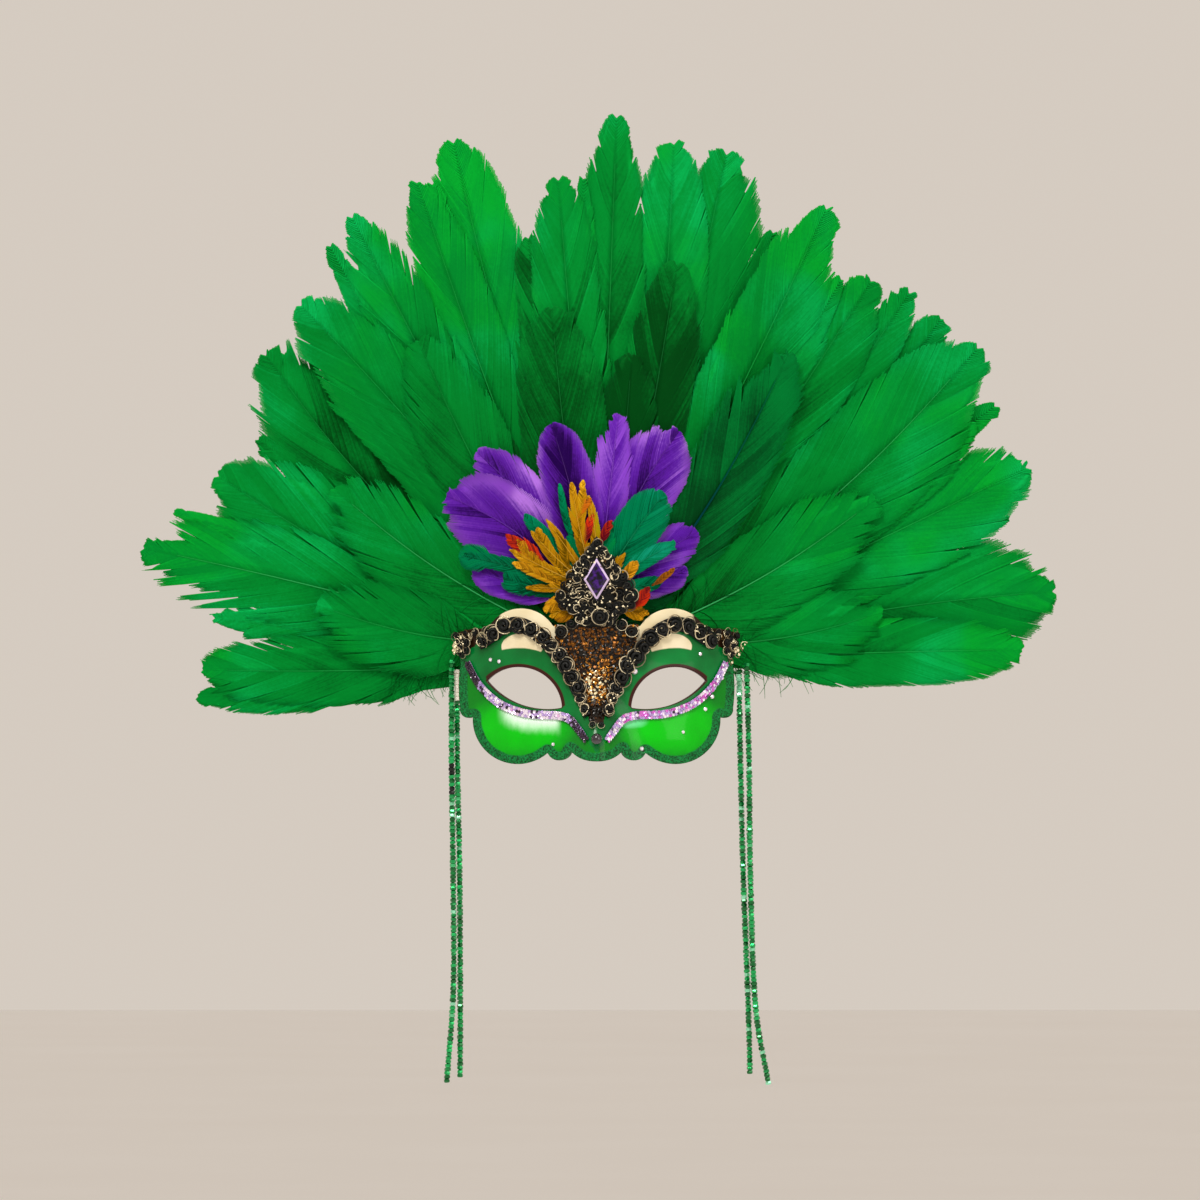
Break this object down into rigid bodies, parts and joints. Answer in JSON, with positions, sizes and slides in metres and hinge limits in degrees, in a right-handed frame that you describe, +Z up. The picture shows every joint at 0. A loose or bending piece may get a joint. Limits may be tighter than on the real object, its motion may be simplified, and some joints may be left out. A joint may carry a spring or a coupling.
{
  "type": "feathered eye mask",
  "caption": "Half-face masquerade mask with two eye holes, braided brow, jewelled crest, a wide fan of green feathers and bead strings at the temples.",
  "frame": {"origin": "inner face of the nose bridge, on the mask's middle line and level with the eyes", "axes": "+X to the viewer's right, the front faces -Y, +Z up"},
  "size_m": [0.5481, 0.1028, 0.578],
  "materials": {
    "mask_shell": "metallic green and pearl cream paint on moulded plastic, 2 mm wall",
    "braid": "black knotted braid edged with gold cord",
    "sequin": "iridescent pale lilac sequins",
    "gem": "faceted purple acrylic stone",
    "glitter": "gold and black glitter",
    "black_bead": "polished black bead",
    "green_feather": "dyed green feather, soft barbs on a pale quill",
    "purple_feather": "dyed purple feather",
    "teal_feather": "dyed teal feather",
    "gold_feather": "dyed amber and gold feather",
    "green_bead": "metallic green beads on a thread"
  },
  "bodies": {
    "root": {"mask_shell": "mask_shell", "brow_braid_left": "braid", "brow_braid_right": "braid", "temple_rosette_left": "braid", "temple_rosette_right": "braid", "crest_plate": "braid", "crest_knot": "braid", "sequin_trim_left": "sequin", "sequin_trim_right": "sequin", "crest_gem": "gem", "glitter_lozenge": "glitter", "nose_bead": "black_bead", "plume_left_1": "green_feather", "plume_left_2": "green_feather", "plume_left_3": "green_feather", "plume_left_4": "green_feather", "plume_left_5": "green_feather", "plume_left_6": "green_feather", "plume_left_7": "green_feather", "plume_left_8": "green_feather", "plume_centre_1": "green_feather", "plume_centre_2": "green_feather", "plume_centre_3": "green_feather", "plume_centre_4": "green_feather", "plume_right_1": "green_feather", "plume_right_2": "green_feather", "plume_right_3": "green_feather", "plume_right_4": "green_feather", "plume_right_5": "green_feather", "plume_right_6": "green_feather", "plume_right_7": "green_feather", "plume_right_8": "green_feather", "plume_right_9": "green_feather", "inner_left_1": "green_feather", "inner_left_2": "green_feather", "inner_left_3": "green_feather", "inner_left_4": "green_feather", "inner_right_1": "green_feather", "inner_right_2": "green_feather", "inner_right_3": "green_feather", "inner_right_4": "green_feather", "inner_right_5": "green_feather", "purple_feather_1": "purple_feather", "purple_feather_2": "purple_feather", "purple_feather_3": "purple_feather", "purple_feather_4": "purple_feather", "purple_feather_5": "purple_feather", "purple_feather_6": "purple_feather", "purple_feather_7": "purple_feather", "purple_feather_8": "purple_feather", "teal_tuft": "teal_feather", "gold_tuft": "gold_feather", "strand_left_outer_upper": "green_bead", "strand_left_outer_lower": "green_bead", "strand_left_inner_upper": "green_bead", "strand_left_inner_lower": "green_bead", "strand_right_inner_upper": "green_bead", "strand_right_inner_lower": "green_bead", "strand_right_outer_upper": "green_bead", "strand_right_outer_lower": "green_bead"}
  },
  "joints": []
}
